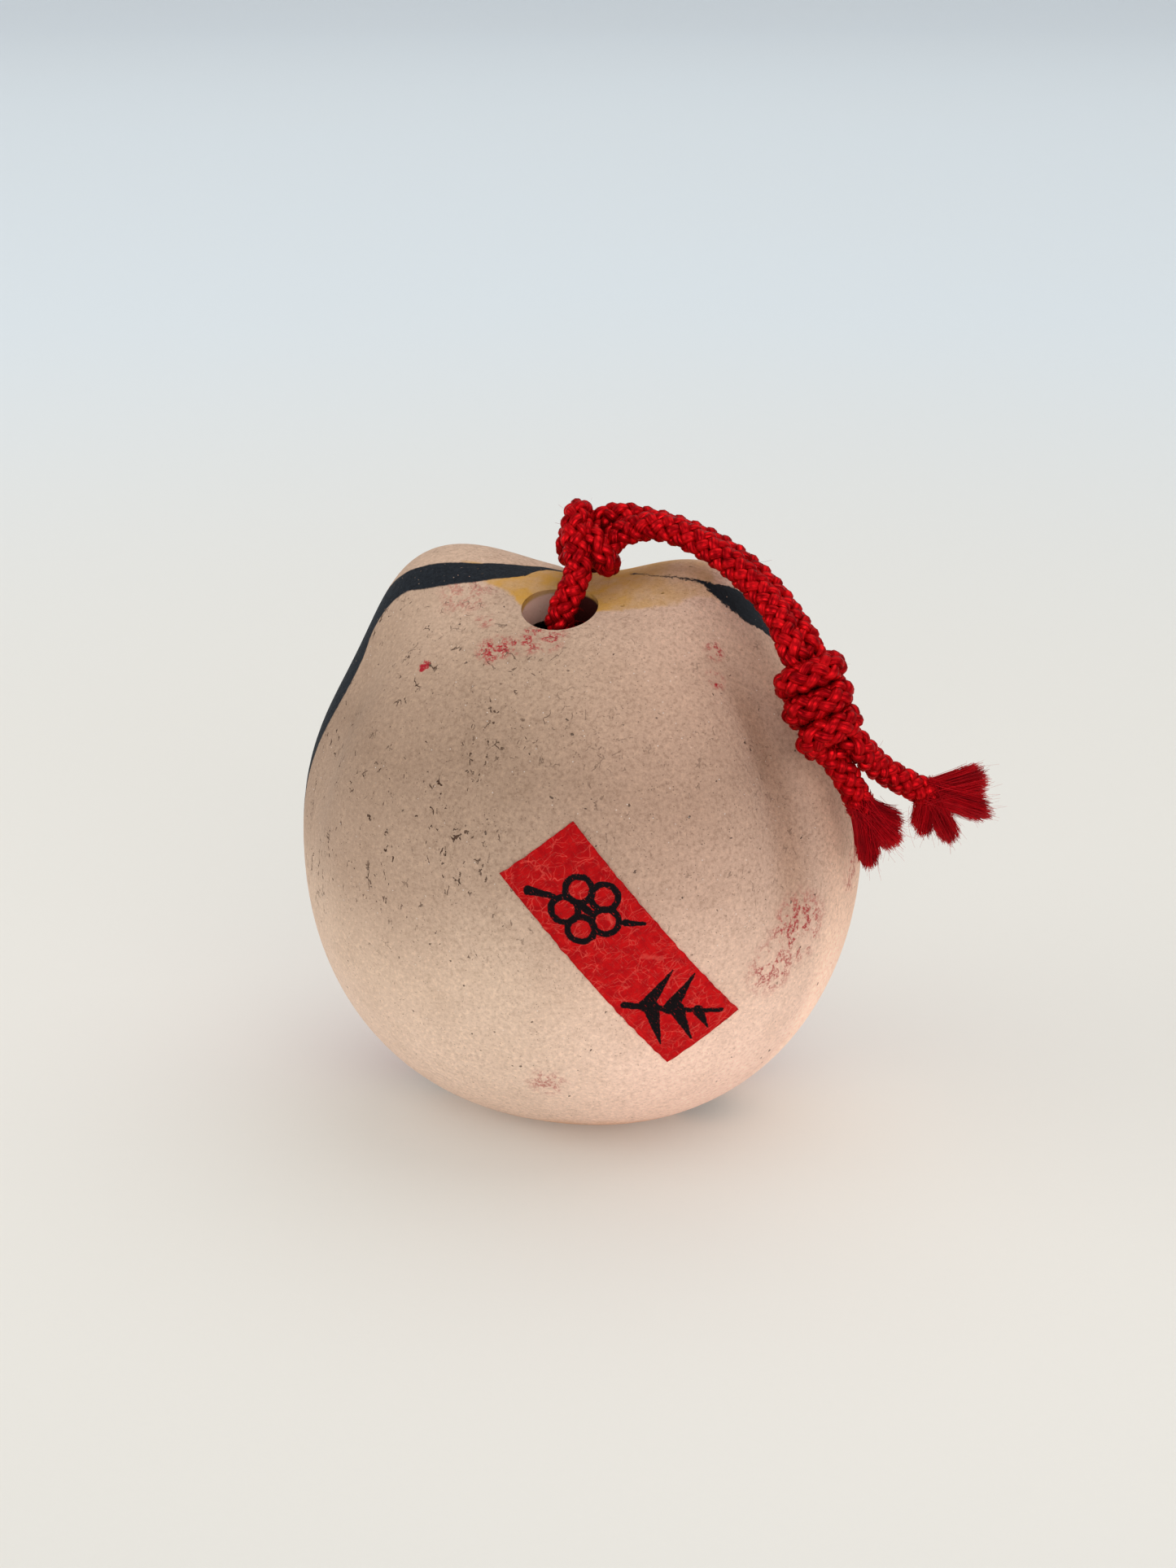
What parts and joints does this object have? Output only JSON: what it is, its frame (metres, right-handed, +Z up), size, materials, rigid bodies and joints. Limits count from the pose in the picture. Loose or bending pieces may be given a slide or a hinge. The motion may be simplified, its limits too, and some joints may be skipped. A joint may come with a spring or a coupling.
{
  "type": "daruma doll",
  "caption": "Small hollow clay daruma doll made as a bell, with a base slot, a loose pellet and a knotted braided cord through the crown.",
  "frame": {"origin": "centre of the foot on the standing surface, measured without the cord", "axes": "+Z up, face towards -Y, plain back with the label towards +Y, cord falls towards -X"},
  "size_m": [0.0831, 0.0566, 0.0757],
  "materials": {
    "bisque_clay": "unglazed pinkish bisque with matt paint",
    "pellet_clay": "unglazed",
    "label_paper": "matt fibrous handmade paper with black ink",
    "cord_braid": "satin braided synthetic yarn"
  },
  "bodies": {
    "bell": {"rear_shell": "bisque_clay", "front_shell": "bisque_clay", "paper_label": "label_paper", "cord_loop": "cord_braid", "upper_knot": "cord_braid"},
    "pellet": {"rattle_ball": "pellet_clay"},
    "cord_end": {"strand_a": "cord_braid", "strand_b": "cord_braid", "lower_knot": "cord_braid", "tail_short": "cord_braid", "tail_long": "cord_braid", "frayed_end_short": "cord_braid", "frayed_end_long": "cord_braid"}
  },
  "joints": [
    {"name": "rattle_roll", "type": "hinge", "parent": "bell", "child": "pellet", "pos_m": [0, 0, 0.031], "axis": [0, 1, 0], "range_deg": [-120, 120]},
    {"name": "cord_lift", "type": "hinge", "parent": "bell", "child": "cord_end", "pos_m": [-0.0018, 0.002, 0.069], "axis": [0, 1, 0], "range_deg": [0, 60]}
  ]
}
